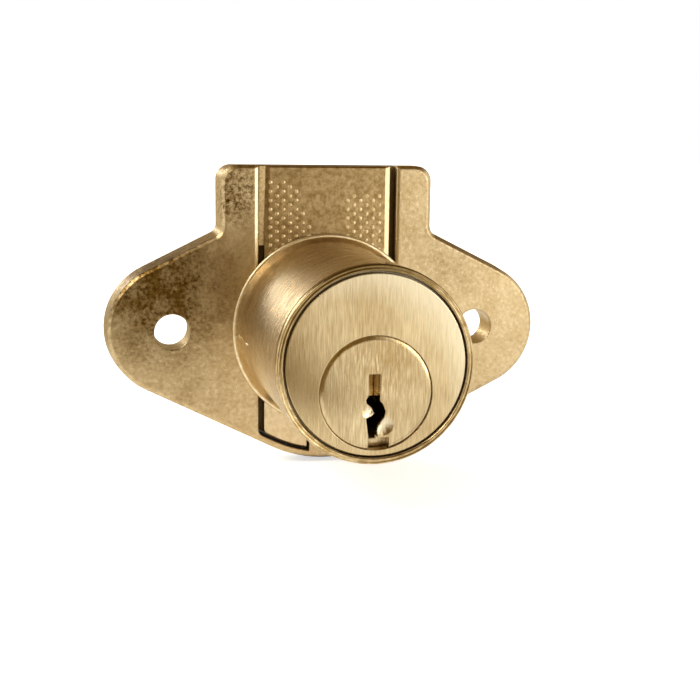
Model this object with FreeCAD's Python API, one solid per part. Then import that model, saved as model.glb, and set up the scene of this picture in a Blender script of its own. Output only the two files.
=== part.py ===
import FreeCAD, Part
import math
import os
from FreeCAD import Vector

# A pin tumbler deadbolt lock for a drawer, in millimetres.
# The origin is on the barrel's axis, midway between the two screw holes, in the front
# face of the case, which lies against the inside of the drawer front.
# +X points right and +Z up as seen from the key's side, and +Y points into the drawer.
# Every piece is drawn unlocked, with the key's cuts holding the pins at the shear line.

# Case plate
screw_spacing = 39.7
screw_hole_radius = 2.25
ear_x = 19.6
ear_lift = 0.12
ear_radius = 8.25
plate_thickness = 4.6
plate_draft = 0.4
lobe_radius = 16.0
lobe_drop = 0.95
tab_half_width = 13.5
tab_top = 20.9
tab_corner = 1.9
neck_fillet = 1.5
front_edge_chamfer = 0.4
back_edge_chamfer = 0.25

# Barrel, cast in one piece with the case
barrel_radius = 11.1125
barrel_length = 27.0
barrel_edge_chamfer = 0.3
tube_wall = 0.73
collar_step = 1.04
collar_rim = 0.25
flare_length = 3.5

# Channel in the case that guides the bolt
lip_half_width = 8.95
lip_depth = 1.6
lip_bevel = 0.4
lip_bevel_depth = 0.16
rail_depth = 0.5
rim_wall = 0.75
channel_corner = 1.0
lug_width = 4.4
lug_depth = 1.4

# Bolt
bolt_throw = 6.7
bolt_recess = 0.25
bolt_bevel = 0.6
bolt_bevel_depth = 0.2
bolt_side_gap = 0.85
bolt_bottom_gap = 0.4
bolt_top_gap = 0.1
guide_clearance = 0.15
slide_clearance = 0.1
lug_clearance = 0.35

# Back cover and its rivets
cover_thickness = 1.15
cover_ledge = 2.9
cover_clearance = 0.1
rivet_radius = 0.95
rivet_clearance = 0.03
rivet_grip = 2.1
rivet_from_top = 3.4
rivet_below_axis = 8.6

# Cylinder body, a separate piece set in the barrel
fit_clearance = 0.05
face_groove_width = 0.3
face_groove_depth = 0.8
cylinder_pin_radius = 1.0
cylinder_pin_length = 2.9
cylinder_pin_from_plate = 6.5

# Plug
plug_offset = 3.075
plug_head_radius = 6.35
plug_head_depth = 2.0
plug_shoulder = 0.4
plug_bevel = 0.5
plug_bevel_depth = 0.15
plug_turn_deg = 90.0

# Keyway
keyway_top = 2.1
keyway_bottom = 5.4
keyway_past_last_pin = 1.6
notch_top = 5.0
notch_left = 0.85
notch_right = 1.55
notch_depth = 1.7
lead_in_depth = 0.4
lead_ins = ((-0.45, -1.9, 1.15), (0.85, -3.6, 1.2))

# Pin stacks
pin_count = 5
first_pin_from_face = 4.6
pin_pitch = 3.81
pin_radius = 1.45
pin_clearance = 0.05
chamber_below_axis = 1.9
longest_key_pin = 7.1
key_pin_step = 0.4
key_cuts = (0, 1, 3, 1, 2)
key_pin_tip_radius = 0.7
key_pin_tip_height = 0.5
driver_length = 4.2
shear_gap = 0.05
spring_outer_radius = 1.25
spring_wire = 0.35

# Spring cover over the pin chambers
spring_cover_thickness = 0.8
spring_cover_half_width = 2.2
spring_cover_overhang = 0.7

# Drive cam, its pin, and the tongue and screw that join it to the plug
cam_rim = 0.66
cam_thickness = 1.8
cam_clearance = 0.1
tongue_half_width = 1.2
tongue_height = 0.7
stop_reach = 1.4
stop_half_angle = 12.0
stop_clearance_deg = 1.5
drive_pin_radius = 1.1
drive_pin_end_gap = 0.2
drive_slot_clearance = 0.15
cam_screw_radius = 1.25
cam_screw_head_radius = 2.3
cam_screw_head_depth = 1.05
cam_screw_length = 4.3
screw_slot_width = 0.5
screw_slot_depth = 0.35
thread_clearance = 0.05

# Sides of the small repeated rounds, how far a cutting shape runs past what it cuts, and
# how near counts as the same place
few_sides = 12
beyond = 1.0
tiny = 0.001

# Places and sizes worked out from the dimensions above
screw_x = screw_spacing / 2
collar_radius = barrel_radius + collar_step
tube_bore = barrel_radius - tube_wall
cylinder_radius = tube_bore - fit_clearance
face_y = -barrel_length
rail_half_width = lip_half_width + rail_depth
cover_half_width = rail_half_width + cover_ledge
cover_front_y = plate_thickness - cover_thickness
bolt_back_y = cover_front_y - slide_clearance
bolt_half_width = lip_half_width - bolt_side_gap
flange_half_width = rail_half_width - guide_clearance
lug_top = tube_bore
plug_z = -plug_offset
plug_bore = plug_head_radius + fit_clearance
plug_radius = plug_head_radius - plug_shoulder
plug_rear_y = -cam_thickness - cam_clearance
chamber_radius = pin_radius + pin_clearance
chamber_floor = plug_z - chamber_below_axis
shear_line = plug_z + plug_radius
key_pin_top = plug_z + math.sqrt(plug_radius * plug_radius - pin_radius * pin_radius) - shear_gap
driver_low = shear_line + fit_clearance + shear_gap
driver_high = driver_low + driver_length
last_pin_y = face_y + first_pin_from_face + (pin_count - 1) * pin_pitch
spring_seat = cylinder_radius - spring_cover_thickness
half_turn = math.radians(plug_turn_deg / 2)
drive_arm = bolt_throw / (2 * math.sin(half_turn))
drive_pin_x = -drive_arm * math.cos(half_turn)
drive_pin_z = plug_z - drive_arm * math.sin(half_turn)
cam_radius = drive_arm + drive_pin_radius + cam_rim
cam_back_y = plug_rear_y + cam_thickness


# Shapes used by several pieces

def rod_y(radius, y0, y1, x=0.0, z=0.0):
    return Part.makeCylinder(radius, y1 - y0, Vector(x, y0, z), Vector(0, 1, 0))


def rod_z(radius, z0, z1, x=0.0, y=0.0):
    return Part.makeCylinder(radius, z1 - z0, Vector(x, y, z0), Vector(0, 0, 1))


def cone_y(radius0, radius1, y0, y1, x=0.0, z=0.0):
    return Part.makeCone(radius0, radius1, y1 - y0, Vector(x, y0, z), Vector(0, 1, 0))


def block(x0, x1, y0, y1, z0, z1):
    return Part.makeBox(x1 - x0, y1 - y0, z1 - z0, Vector(x0, y0, z0))


def prism(edges, y0, y1):
    """Extrude a closed outline, drawn in the plane y = 0, from y0 to y1."""
    face = Part.Face(Part.Wire(edges))
    face.translate(Vector(0, y0, 0))
    return face.extrude(Vector(0, y1 - y0, 0))


def polygon(points, y0, y1):
    corners = [Vector(x, 0, z) for x, z in points]
    wire = Part.makePolygon(corners + corners[:1])
    return prism(wire.Edges, y0, y1)


def upright(points, z0, z1):
    """Extrude a closed outline, drawn in x and y, from z0 to z1."""
    corners = [Vector(x, y, z0) for x, y in points]
    return Part.Face(Part.makePolygon(corners + corners[:1])).extrude(Vector(0, 0, z1 - z0))


def line(a, b):
    return Part.makeLine(Vector(a[0], 0, a[1]), Vector(b[0], 0, b[1]))


def arc(a, b, c):
    points = [Vector(x, 0, z) for x, z in (a, b, c)]
    return Part.Arc(*points).toShape()


def few_sided_ring(radius, centre, along, across):
    """Corners of a many-sided outline round a centre, in the plane of two directions."""
    angles = [2 * math.pi * index / few_sides for index in range(few_sides)]
    corners = [centre + along * (radius * math.cos(a)) + across * (radius * math.sin(a)) for a in angles]
    return Part.makePolygon(corners + corners[:1])


def few_sided_y(radius, y0, y1, x, z):
    ring = few_sided_ring(radius, Vector(x, y0, z), Vector(1, 0, 0), Vector(0, 0, 1))
    return Part.Face(ring).extrude(Vector(0, y1 - y0, 0))


def edges_in_plane(shape, y):
    """The edges that lie wholly in the plane at y."""
    return [e for e in shape.Edges if abs(e.BoundBox.YMin - y) < tiny and abs(e.BoundBox.YMax - y) < tiny]


def edges_at_width(shape, half_width, low, high):
    """The edges along y, at half_width either side of the middle, with z from low to high."""
    chosen = []
    for edge in shape.Edges:
        box = edge.BoundBox
        beside = abs(abs(box.XMin) - half_width) < tiny and box.XLength < tiny
        if beside and box.ZLength < tiny and box.ZMin > low and box.ZMax < high:
            chosen.append(edge)
    return chosen


# Outline of the case, and of what follows it further in

def ear_tangent(inset):
    """Where the straight lower edge leaves the lobe and where it meets the ear."""
    rise = lobe_drop + ear_lift
    span = math.hypot(ear_x, rise)
    cosine = (lobe_radius - ear_radius) / span
    sine = math.sqrt(1 - cosine * cosine)
    nx = (cosine * ear_x + sine * rise) / span
    nz = (cosine * rise - sine * ear_x) / span
    lobe = lobe_radius - inset
    ear = ear_radius - inset
    return (lobe * nx, lobe * nz - lobe_drop), (ear_x + ear * nx, ear_lift + ear * nz)


def rounding(before, corner, after, radius):
    """Start, middle and end of the arc that rounds a corner between two straight lines."""
    at = Vector(corner[0], corner[1], 0)
    back = (Vector(before[0], before[1], 0) - at).normalize()
    ahead = (Vector(after[0], after[1], 0) - at).normalize()
    half_angle = back.getAngle(ahead) / 2
    reach = radius / math.tan(half_angle)
    middle = (back + ahead).normalize() * (radius / math.sin(half_angle) - radius)
    return [(p.x, p.y) for p in (at + back * reach, at + middle, at + ahead * reach)]


def case_outline(inset=0.0, top=tab_top):
    """Lobe, lower edges, ears, shoulders and tab, set in by the same amount except at the top."""
    lobe_end, ear_start = ear_tangent(inset)
    ear_tip = (ear_x + ear_radius - inset, ear_lift)
    ear_end = (ear_start[0], 2 * ear_lift - ear_start[1])
    slope = (ear_start[1] - lobe_end[1]) / (ear_start[0] - lobe_end[0])
    half = tab_half_width - inset
    neck = (half, ear_end[1] + slope * (ear_end[0] - half))
    neck_arc = rounding(ear_end, neck, (half, top), neck_fillet + inset)
    tab_arc = rounding(neck, (half, top), (0, top), tab_corner)
    lobe_bottom = (0.0, inset - lobe_drop - lobe_radius)
    right = [line(lobe_end, ear_start), arc(ear_start, ear_tip, ear_end), line(ear_end, neck_arc[0])]
    right += [arc(*neck_arc), line(neck_arc[2], tab_arc[0]), arc(*tab_arc)]
    left = [edge.mirror(Vector(0, 0, 0), Vector(1, 0, 0)) for edge in reversed(right)]
    end = tab_arc[2]
    bottom = arc((-lobe_end[0], lobe_end[1]), lobe_bottom, lobe_end)
    return Part.__sortEdges__(right + [line(end, (-end[0], end[1]))] + left + [bottom])


def slab(half_width, inset, top, y0, y1, corner=channel_corner):
    """A straight-sided slab whose lower end follows the case outline, set in."""
    reach = 2 * (lobe_radius + lobe_drop)
    lower = prism(case_outline(inset), y0, y1)
    lower = lower.common(block(-half_width, half_width, y0, y1, -reach, 0))
    upper = block(-half_width, half_width, y0, y1, 0, top)
    whole = lower.fuse(upper).removeSplitter()
    return whole.makeFillet(corner, edges_at_width(whole, half_width, -reach, 0))


# Case

def case_plate():
    """Four outlines joined by straight walls, which spread towards the back and are chamfered."""
    levels = [(0, front_edge_chamfer), (front_edge_chamfer, 0)]
    levels += [(plate_thickness - back_edge_chamfer, 0), (plate_thickness, back_edge_chamfer)]
    wires = []
    for y, chamfer in levels:
        spread = plate_draft * y / plate_thickness
        wire = Part.Wire(case_outline(chamfer - spread, tab_top - chamfer))
        wire.translate(Vector(0, y, 0))
        wires.append(wire)
    return Part.makeLoft(wires, True, True)


def barrel_solid():
    """Barrel turned to size, with its cast root flaring out to a thin collar rim."""
    run = flare_length - collar_rim
    flare_radius = (run * run + collar_step * collar_step) / (2 * collar_step)
    turn = math.asin(run / flare_radius) / 2
    flare_mid_r = barrel_radius + flare_radius * (1 - math.cos(turn))
    flare_mid_y = -flare_length + flare_radius * math.sin(turn)
    rim_y = face_y + barrel_edge_chamfer
    rim_radius = barrel_radius - barrel_edge_chamfer
    edges = [
        line_ry((0, 0), (collar_radius, 0)),
        line_ry((collar_radius, 0), (collar_radius, -collar_rim)),
        line_ry((collar_radius, -collar_rim), (flare_mid_r, flare_mid_y)),
        line_ry((flare_mid_r, flare_mid_y), (barrel_radius, -flare_length)),
        line_ry((barrel_radius, -flare_length), (barrel_radius, rim_y)),
        line_ry((barrel_radius, rim_y), (rim_radius, face_y)),
        line_ry((rim_radius, face_y), (0, face_y)),
        line_ry((0, face_y), (0, 0)),
    ]
    face = Part.Face(Part.Wire(edges))
    return face.revolve(Vector(0, 0, 0), Vector(0, 1, 0), 360)


def line_ry(a, b):
    return Part.makeLine(Vector(a[0], a[1], 0), Vector(b[0], b[1], 0))


def rivet_places():
    x = (rail_half_width + cover_half_width) / 2
    high = tab_top - rivet_from_top
    return [(side * x, z) for side in (-1, 1) for z in (high, -rivet_below_axis)]


def lock_case():
    open_top = tab_top + beyond
    case = case_plate()
    case = case.cut(slab(lip_half_width, rim_wall, open_top, -beyond, lip_depth))
    wide = lip_half_width + lip_bevel
    mouth = [(-wide, 0), (-lip_half_width, lip_bevel_depth), (lip_half_width, lip_bevel_depth), (wide, 0)]
    case = case.cut(upright(mouth, 0, open_top))
    case = case.cut(slab(rail_half_width, rim_wall, open_top, lip_depth, cover_front_y))
    pocket_top = tab_top - rim_wall
    case = case.cut(slab(cover_half_width, rim_wall, pocket_top, cover_front_y, plate_thickness + beyond))
    lug_bottom = lobe_drop + lobe_radius - rim_wall / 2
    lug = block(-lug_width / 2, lug_width / 2, 0, lug_depth, -lug_bottom, -lug_top)
    case = case.fuse([barrel_solid(), lug])
    case = case.cut(rod_y(tube_bore, face_y - beyond, 0))
    for side in (-1, 1):
        case = case.cut(rod_y(screw_hole_radius, -beyond, plate_thickness + beyond, side * screw_x))
    for x, z in rivet_places():
        floor = cover_front_y - rivet_grip - rivet_clearance
        case = case.cut(few_sided_y(rivet_radius + rivet_clearance, floor, cover_front_y, x, z))
    return case.cut(cylinder_pin_hole()).removeSplitter()


# Bolt

def drive_slot():
    """Level slot for the drive pin, high enough for how far the pin strays from a steady climb."""
    lead = math.sin(half_turn) / half_turn
    peak = math.acos(lead)
    drift = drive_arm * (math.sin(peak) - lead * peak)
    radius = drive_pin_radius + drift + drive_slot_clearance
    low = drive_pin_z - radius
    slot = block(-drive_arm, drive_pin_x, 0, plate_thickness, low, low + 2 * radius)
    ends = [rod_y(radius, 0, plate_thickness, x, drive_pin_z) for x in (-drive_arm, drive_pin_x)]
    return slot.fuse(ends)


def bolt():
    inset = rim_wall + bolt_bottom_gap
    top = tab_top - bolt_top_gap
    face = slab(bolt_half_width, inset, top, bolt_recess, bolt_back_y)
    face = face.makeChamfer(bolt_bevel_depth, edges_in_plane(face, bolt_recess))
    flat = bolt_half_width - bolt_bevel
    bevel_y = bolt_recess + bolt_bevel_depth
    sides = [(bolt_half_width, bevel_y), (bolt_half_width, bolt_back_y), (-bolt_half_width, bolt_back_y)]
    roof = [(-flat, bolt_recess), (flat, bolt_recess)] + sides + [(-bolt_half_width, bevel_y)]
    face = face.common(upright(roof, -2 * lobe_radius, 2 * tab_top))
    flange_front = lip_depth + slide_clearance
    flange = slab(flange_half_width, inset, top, flange_front, bolt_back_y)
    slide = face.fuse(flange)
    half_slot = lug_width / 2 + lug_clearance
    floor = lobe_drop + lobe_radius
    slide = slide.cut(
        block(-half_slot, half_slot, 0, plate_thickness, -floor, -lug_top + lug_clearance)
    )
    return slide.cut(drive_slot()).removeSplitter()


# Back cover and its rivets

def back_cover():
    half = cover_half_width - cover_clearance
    top = tab_top - rim_wall - cover_clearance
    inset = rim_wall + cover_clearance
    cover = slab(half, inset, top, cover_front_y, plate_thickness)
    for x, z in rivet_places():
        cover = cover.cut(few_sided_y(rivet_radius + rivet_clearance, 0, plate_thickness, x, z))
    return cover


def cover_rivets():
    """Four rivets, peened down flush with the cover."""
    low = cover_front_y - rivet_grip
    rivets = [few_sided_y(rivet_radius, low, plate_thickness, x, z) for x, z in rivet_places()]
    return Part.makeCompound(rivets)


# Cylinder body and what closes and holds it

def pin_y(index):
    return face_y + first_pin_from_face + index * pin_pitch


def cover_blank(side_gap=0.0):
    """The bar of metal over the pin chambers that the spring cover fills."""
    half = spring_cover_half_width - side_gap
    ends = chamber_radius + spring_cover_overhang - side_gap
    return block(-half, half, pin_y(0) - ends, last_pin_y + ends, spring_seat, cylinder_radius + beyond)


def wedge(radius0, radius1, y0, y1, middle_deg, half_deg):
    """A sector of a ring round the plug's axis; its middle is measured clockwise from the top."""
    ring = rod_y(radius1, y0, y1, 0, plug_z).cut(rod_y(radius0, y0, y1, 0, plug_z))
    reach = 3 * radius1
    low = math.radians(middle_deg - half_deg)
    high = math.radians(middle_deg + half_deg)
    middle = math.radians(middle_deg)
    points = [(0, plug_z)]
    for angle in (low, middle, high):
        points.append((reach * math.sin(angle), plug_z + reach * math.cos(angle)))
    return ring.common(polygon(points, y0, y1))


def cylinder_pin_rod(start, radius):
    """A rod along +X through the barrel's right side, at the height of its axis."""
    place = Vector(start, -cylinder_pin_from_plate, 0)
    return Part.makeCylinder(radius, collar_radius + beyond - start, place, Vector(1, 0, 0))


def cylinder_pin_hole():
    return cylinder_pin_rod(barrel_radius - cylinder_pin_length - fit_clearance, cylinder_pin_radius)


def cylinder_body():
    body = rod_y(cylinder_radius, face_y, 0)
    groove = rod_y(cylinder_radius + beyond, face_y, face_y + face_groove_depth)
    body = body.cut(groove.cut(rod_y(tube_bore - face_groove_width, face_y, face_y + face_groove_depth)))
    body = body.cut(rod_y(plug_radius + fit_clearance, face_y, 0, 0, plug_z))
    body = body.cut(rod_y(plug_bore, face_y, face_y + plug_head_depth + fit_clearance, 0, plug_z))
    body = body.cut(rod_y(cam_radius + fit_clearance, plug_rear_y, 0, 0, plug_z))
    half_sweep = plug_turn_deg / 2 + stop_half_angle + stop_clearance_deg
    stop_radius = cam_radius + stop_reach + cam_clearance
    body = body.cut(wedge(cam_radius - beyond, stop_radius, plug_rear_y, 0, 0, half_sweep))
    for index in range(pin_count):
        body = body.cut(rod_z(chamber_radius, plug_z, spring_seat + tiny, 0, pin_y(index)))
    return body.cut(cover_blank()).cut(cylinder_pin_hole()).removeSplitter()


def spring_cover():
    return cover_blank(fit_clearance).common(rod_y(cylinder_radius, face_y, 0))


def cylinder_pin():
    start = barrel_radius - cylinder_pin_length
    return cylinder_pin_rod(start, cylinder_pin_radius).common(rod_y(barrel_radius, face_y, 0))


# Plug and keyway

def keyway_profile():
    """Paracentric outline round the plug's axis: a straight top, and a ward from each side."""
    left = [(-0.86, keyway_top), (-0.86, -0.29), (-1.13, -0.75), (-1.05, -1.1), (-0.42, -1.7)]
    left += [(-0.15, -2.3), (-0.49, -2.62), (-1.1, -2.82), (-0.75, -keyway_bottom)]
    right = [(0.38, -keyway_bottom), (0.15, -4.4), (0.24, -3.95), (0.99, -2.8), (1.09, -2.0)]
    right += [(0.81, -1.27), (0.46, -0.89), (0.46, keyway_top)]
    return [(x, plug_z + z) for x, z in left + right]


def lead_in(x, z, radius):
    """A shallow hollow at the mouth of the keyway, which eases a key past a ward."""
    rim = few_sided_ring(radius, Vector(x, face_y, z), Vector(1, 0, 0), Vector(0, 0, 1))
    deepest = Part.Vertex(x, face_y + lead_in_depth, z)
    return Part.makeLoft([rim, deepest], True, True)


def plug():
    body = rod_y(plug_radius, face_y, plug_rear_y, 0, plug_z)
    bevel_y = face_y + plug_bevel_depth
    head = cone_y(plug_head_radius - plug_bevel, plug_head_radius, face_y, bevel_y, 0, plug_z)
    head = head.fuse(rod_y(plug_head_radius, bevel_y, face_y + plug_head_depth, 0, plug_z))
    body = body.fuse(head)
    body = body.cut(polygon(keyway_profile(), face_y - beyond, last_pin_y + keyway_past_last_pin))
    low = plug_z - plug_head_radius - beyond
    high = plug_z - notch_top
    body = body.cut(block(-notch_left, notch_right, face_y - beyond, face_y + notch_depth, low, high))
    for x, z, radius in lead_ins:
        body = body.cut(lead_in(x, plug_z + z, radius))
    for index in range(pin_count):
        top = plug_z + plug_head_radius + beyond
        body = body.cut(rod_z(chamber_radius, chamber_floor, top, 0, pin_y(index)))
    body = body.fuse(tongue())
    tap = cam_back_y - cam_screw_length - thread_clearance
    body = body.cut(rod_y(cam_screw_radius + thread_clearance, tap, cam_back_y, 0, plug_z))
    return body.removeSplitter()


# Pin stacks

def key_pin_low(index):
    return key_pin_top - longest_key_pin + key_cuts[index] * key_pin_step


def key_pin(index):
    """Tapered below for the key's cut, with a flat top that stays inside the turning plug."""
    low = key_pin_low(index)
    y = pin_y(index)
    start = Vector(0, y, low)
    tip = Part.makeCone(key_pin_tip_radius, pin_radius, key_pin_tip_height, start, Vector(0, 0, 1))
    return tip.fuse(rod_z(pin_radius, low + key_pin_tip_height, key_pin_top, 0, y)).removeSplitter()


def driver_pin(index):
    return rod_z(pin_radius, driver_low, driver_high, 0, pin_y(index))


def few_sided_z(radius, z0, z1, y):
    ring = few_sided_ring(radius, Vector(0, y, z0), Vector(1, 0, 0), Vector(0, 1, 0))
    return Part.Face(ring).extrude(Vector(0, 0, z1 - z0))


def pin_spring(index):
    """The room that a small coil spring takes, out of sight above its driver pin."""
    outside = few_sided_z(spring_outer_radius, driver_high, spring_seat, pin_y(index))
    inner = spring_outer_radius - spring_wire
    return outside.cut(few_sided_z(inner, driver_high, spring_seat, pin_y(index)))


# Drive cam, its pin and its screw

def tongue(gap=0.0):
    """The flat tongue across the plug's rear end, which turns the cam."""
    half = tongue_half_width + gap
    end = plug_rear_y + tongue_height + gap
    bar = block(-half, half, plug_rear_y, end, -cylinder_radius, cylinder_radius)
    return bar.common(rod_y(plug_radius + gap, plug_rear_y, cam_back_y, 0, plug_z))


def drive_cam():
    cam = rod_y(cam_radius, plug_rear_y, cam_back_y, 0, plug_z)
    stop_radius = cam_radius + stop_reach
    stop_middle = -plug_turn_deg / 2
    stop = wedge(cam_radius - beyond, stop_radius, plug_rear_y, cam_back_y, stop_middle, stop_half_angle)
    cam = cam.fuse(stop).cut(tongue(fit_clearance))
    radius = cam_screw_radius + thread_clearance
    head = cam_screw_head_radius + thread_clearance
    cam = cam.cut(rod_y(radius, plug_rear_y, cam_back_y, 0, plug_z))
    cam = cam.cut(cone_y(radius, head, cam_back_y - cam_screw_head_depth, cam_back_y, 0, plug_z))
    hole = rod_y(drive_pin_radius, plug_rear_y, cam_back_y, drive_pin_x, drive_pin_z)
    return cam.cut(hole).removeSplitter()


def cam_screw():
    """Countersunk, with its slotted flat head flush in the cam."""
    head_y = cam_back_y - cam_screw_head_depth
    shank = rod_y(cam_screw_radius, cam_back_y - cam_screw_length, head_y, 0, plug_z)
    head = cone_y(cam_screw_radius, cam_screw_head_radius, head_y, cam_back_y, 0, plug_z)
    across = cam_screw_head_radius
    low = plug_z - screw_slot_width / 2
    slot = block(-across, across, cam_back_y - screw_slot_depth, cam_back_y, low, low + screw_slot_width)
    return shank.fuse(head).cut(slot).removeSplitter()


def drive_pin():
    end = cover_front_y - drive_pin_end_gap
    return rod_y(drive_pin_radius, plug_rear_y, end, drive_pin_x, drive_pin_z)


# Build every piece and write it out

def pieces():
    named = {
        "lock_case": lock_case(),
        "bolt": bolt(),
        "back_cover": back_cover(),
        "cover_rivets": cover_rivets(),
        "cylinder_body": cylinder_body(),
        "spring_cover": spring_cover(),
        "cylinder_pin": cylinder_pin(),
        "plug": plug(),
        "drive_cam": drive_cam(),
        "cam_screw": cam_screw(),
        "drive_pin": drive_pin(),
    }
    for index in range(pin_count):
        number = index + 1
        named[f"key_pin_{number}"] = key_pin(index)
        named[f"driver_pin_{number}"] = driver_pin(index)
        named[f"pin_spring_{number}"] = pin_spring(index)
    return named


os.makedirs("parts", exist_ok=True)
for node, shape in pieces().items():
    shape.exportStep(f"parts/{node}.step")
    print(f"{node}: {len(shape.Solids)} solid, {shape.Volume:.1f} mm3, valid {shape.isValid()}")
for index in range(pin_count):
    print(f"key pin {index + 1} drops {key_pin_low(index) - chamber_floor:.2f} mm")
print(f"drive arm {drive_arm:.3f} mm, bolt travel {bolt_throw} mm over {plug_turn_deg} degrees")
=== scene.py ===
# %% [markdown]
# # A brass drawer lock
#
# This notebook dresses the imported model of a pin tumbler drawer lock. The model already has the
# right shapes and sizes, so the work here is the finish of each piece, the small raised forms that
# a casting has, and the light. Every length is in metres, because that is Blender's unit, and the
# lock is only 56 mm wide, so most numbers are given in millimetres and multiplied by mm.

# %% Load the frame
import bmesh
import bpy
import math
import random
from mathutils import Matrix, Vector


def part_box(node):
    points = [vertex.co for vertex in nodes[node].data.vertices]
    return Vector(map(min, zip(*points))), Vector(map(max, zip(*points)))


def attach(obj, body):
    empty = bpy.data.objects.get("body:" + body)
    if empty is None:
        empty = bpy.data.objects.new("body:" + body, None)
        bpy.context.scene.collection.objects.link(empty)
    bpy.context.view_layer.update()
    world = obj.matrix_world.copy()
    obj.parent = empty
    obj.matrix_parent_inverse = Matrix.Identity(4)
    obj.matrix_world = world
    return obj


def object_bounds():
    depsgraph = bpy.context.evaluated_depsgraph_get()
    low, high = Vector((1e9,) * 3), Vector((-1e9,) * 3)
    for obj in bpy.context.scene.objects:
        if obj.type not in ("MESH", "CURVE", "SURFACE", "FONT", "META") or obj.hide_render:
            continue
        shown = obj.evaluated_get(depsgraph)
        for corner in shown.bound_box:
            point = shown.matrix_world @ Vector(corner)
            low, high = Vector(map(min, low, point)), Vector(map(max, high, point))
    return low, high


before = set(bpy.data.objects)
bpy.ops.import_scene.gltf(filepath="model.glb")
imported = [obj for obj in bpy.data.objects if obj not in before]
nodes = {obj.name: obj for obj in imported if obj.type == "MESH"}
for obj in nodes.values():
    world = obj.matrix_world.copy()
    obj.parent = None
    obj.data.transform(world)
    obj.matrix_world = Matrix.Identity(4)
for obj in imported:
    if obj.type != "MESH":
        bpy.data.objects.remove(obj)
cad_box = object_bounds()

mm = 0.001
print(len(nodes), "nodes, box in mm:", [[round(v / mm, 2) for v in corner] for corner in cad_box])

# %% [markdown]
# ## Camera
#
# The photograph was taken from a little to the left of the lock and a little above it. A camera
# model fitted to the outline of the barrel, the screw holes and the case gives the place, the
# point that it looks at, a small roll and the focal length in pixels. Blender counts focal length
# in millimetres on a 36 mm sensor, so the pixels are scaled by 36 over the picture's 700.

# %% Camera
picture_width = 700
sensor_width = 36.0
focal_pixels = 1303.25
camera_place = Vector((-33.539, -162.849, 24.776)) * mm
camera_target = Vector((3.059, 0.0, -2.786)) * mm
camera_roll = math.radians(0.752)
nearest, furthest = 0.01, 20.0

camera_data = bpy.data.cameras.new("camera")
camera_data.sensor_width = sensor_width
camera_data.lens = sensor_width * focal_pixels / picture_width
camera_data.clip_start, camera_data.clip_end = nearest, furthest
camera = bpy.data.objects.new("camera", camera_data)
bpy.context.scene.collection.objects.link(camera)
aim = (camera_target - camera_place).to_track_quat("-Z", "Y").to_matrix().to_4x4()
camera.matrix_world = Matrix.Translation(camera_place) @ aim @ Matrix.Rotation(camera_roll, 4, "Z")
bpy.context.scene.camera = camera
bpy.context.scene.view_settings.view_transform = "Standard"
print("lens", round(camera_data.lens, 2), "mm")

# %% [markdown]
# ## Helpers for materials
#
# A colour is easiest to read as a hex value, but shaders work in linear light, so one function
# turns the one into the other. A second function adds a node with its settings and its links in
# one call. It takes either a constant or another node for each input, which keeps a material short
# enough to read as a recipe.

# %% Colour and node helpers
def linear(hex_code):
    """Turns an sRGB hex code into linear light, by the curve of the sRGB standard."""
    parts = [int(hex_code[i:i + 2], 16) / 255 for i in (0, 2, 4)]
    return [p / 12.92 if p <= 0.04045 else ((p + 0.055) / 1.055) ** 2.4 for p in parts] + [1.0]


def add(tree, kind, inputs=None, tones=(), **settings):
    """Add a node. Each input gets a constant, or a link from a socket or a node's live output.

    The tones are the two stops of a colour ramp, each a place on it and a hex colour.
    """
    made = tree.nodes.new("ShaderNode" + kind)
    for name, value in settings.items():
        setattr(made, name, value)
    if tones:
        for stop, (place, hex_code) in zip(made.color_ramp.elements, tones):
            stop.position = place
            stop.color = linear(hex_code)
    for name, value in (inputs or {}).items():
        socket = next(s for i, s in enumerate(made.inputs) if s.enabled and name in (s.name, i))
        if isinstance(value, bpy.types.Node):
            value = next(s for s in value.outputs if s.enabled)
        if isinstance(value, bpy.types.NodeSocket):
            tree.links.new(value, socket)
        else:
            socket.default_value = value
    return made


def start(name):
    """A new material's node tree, and the piece's own coordinates in it, which are in metres."""
    material = bpy.data.materials.new(name)
    material.use_nodes = True
    material.node_tree.nodes.clear()
    return material, material.node_tree, add(material.node_tree, "TexCoord").outputs["Object"]


def per_mm(x, y, z):
    """Turns how many times a pattern repeats in a millimetre, each way, into a Mapping scale."""
    return (1000 * x, 1000 * y, 1000 * z)


print("pale brass in linear light:", [round(c, 3) for c in linear("F0D6A0")])

# %% [markdown]
# ## What every metal here shares
#
# Every metal ends the same way, so its last steps are a function. The corners that a cloth can't
# reach hold matt brown dirt, and painted shade darkens the same corners; ambient occlusion finds
# them. No real edge is sharp, and the shader's own bevel rounds the light on each edge without a
# change to the imported shape.
#
# Stains, rubbed places and patches of painted light and shade are round patches. Each could be a
# painted picture, but the distance from a point, broken up by the metal's own pattern, is sharp at
# any size and needs no picture. In the channel where the bolt slides, painted shade, partly old
# grease, blackens the narrow gaps. There a step is taken off the ambient occlusion, so the dirt and
# painted shade need less of a corner to settle in.

# %% Dirt, patches and grease
dirt_and_shade_colour = "5A3E10"
dirt_and_shade_reach = 1.4 * mm
packed_corner, open_surface = 0.08, 0.45
dirt_and_shade_gloss = 0.1
rays = 6
gap_shade_step = 0.5
gap_shade_fade = 0.2 * mm


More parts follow.
